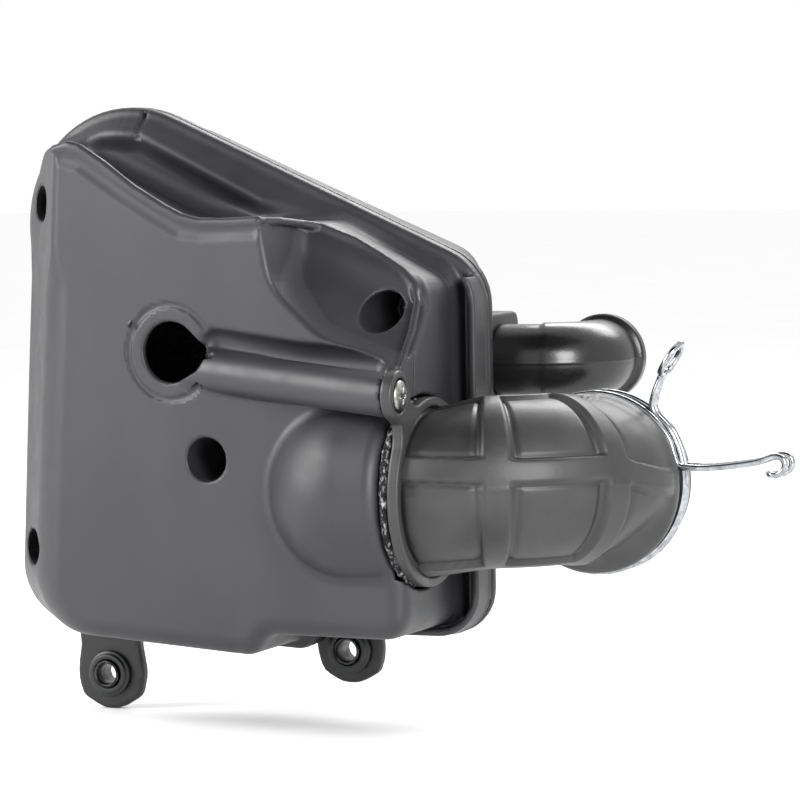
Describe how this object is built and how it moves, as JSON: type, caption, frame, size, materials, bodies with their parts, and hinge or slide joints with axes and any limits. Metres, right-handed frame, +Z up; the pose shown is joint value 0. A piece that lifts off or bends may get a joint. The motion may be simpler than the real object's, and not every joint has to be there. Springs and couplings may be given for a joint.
{
  "type": "air filter housing",
  "caption": "Two-part moulded air filter housing with a ribbed rubber outlet elbow and wire clamp, a rubber inlet elbow, a foam element and rubber-bushed lugs.",
  "frame": {"origin": "centre of the object's box, at its lowest point (the bottom of the left lug)", "axes": "+X towards the elbows, -Y out of the outer case's face, +Z up along the case"},
  "size_m": [0.2474, 0.1186, 0.1924],
  "materials": {
    "outer_case_plastic": "satin moulded polypropylene, fine grain",
    "inner_case_plastic": "satin moulded polypropylene",
    "seal_foam": "closed cell foam cord",
    "filter_foam": "open cell oiled foam",
    "outlet_rubber": "semi matt moulded rubber",
    "inlet_rubber": "semi gloss moulded rubber",
    "ring_plastic": "satin moulded plastic",
    "sealant": "rough grey sealing compound",
    "zinc_screw": "zinc plated, slightly dull",
    "sleeve_steel": "zinc plated turned tube",
    "grommet_rubber": "matt moulded rubber",
    "spring_wire": "bright zinc plated spring wire"
  },
  "bodies": {
    "root": {"outer_case": "outer_case_plastic", "inner_case": "inner_case_plastic", "case_seal": "seal_foam", "filter_element": "filter_foam", "filter_frame": "inner_case_plastic", "outlet_boot": "outlet_rubber", "boot_ring": "ring_plastic", "boot_gasket": "sealant", "boot_screw": "zinc_screw", "inlet_boot": "inlet_rubber", "case_screw_upper_left": "zinc_screw", "case_screw_lower_left": "zinc_screw", "case_screw_upper_right": "zinc_screw", "case_screw_centre": "zinc_screw", "lug_grommet_left": "grommet_rubber", "lug_sleeve_left": "sleeve_steel", "lug_grommet_right": "grommet_rubber", "lug_sleeve_right": "sleeve_steel"},
    "clamp_wide": {"clamp_wire_wide": "spring_wire"},
    "clamp_narrow": {"clamp_wire_narrow": "spring_wire"}
  },
  "joints": [
    {"name": "clamp_turn", "type": "hinge", "parent": "root", "child": "clamp_wide", "pos_m": [0.0633, 0.01675, 0.0765], "axis": [0, 1, 0], "range_deg": [-20, 75]},
    {"name": "clamp_squeeze", "type": "hinge", "parent": "clamp_wide", "child": "clamp_narrow", "pos_m": [0.04102, 0.01675, 0.0609], "axis": [0, 1, 0], "range_deg": [0, 9], "stiffness_Nm_per_rad": 0.6, "springref_deg": -5.73}
  ]
}
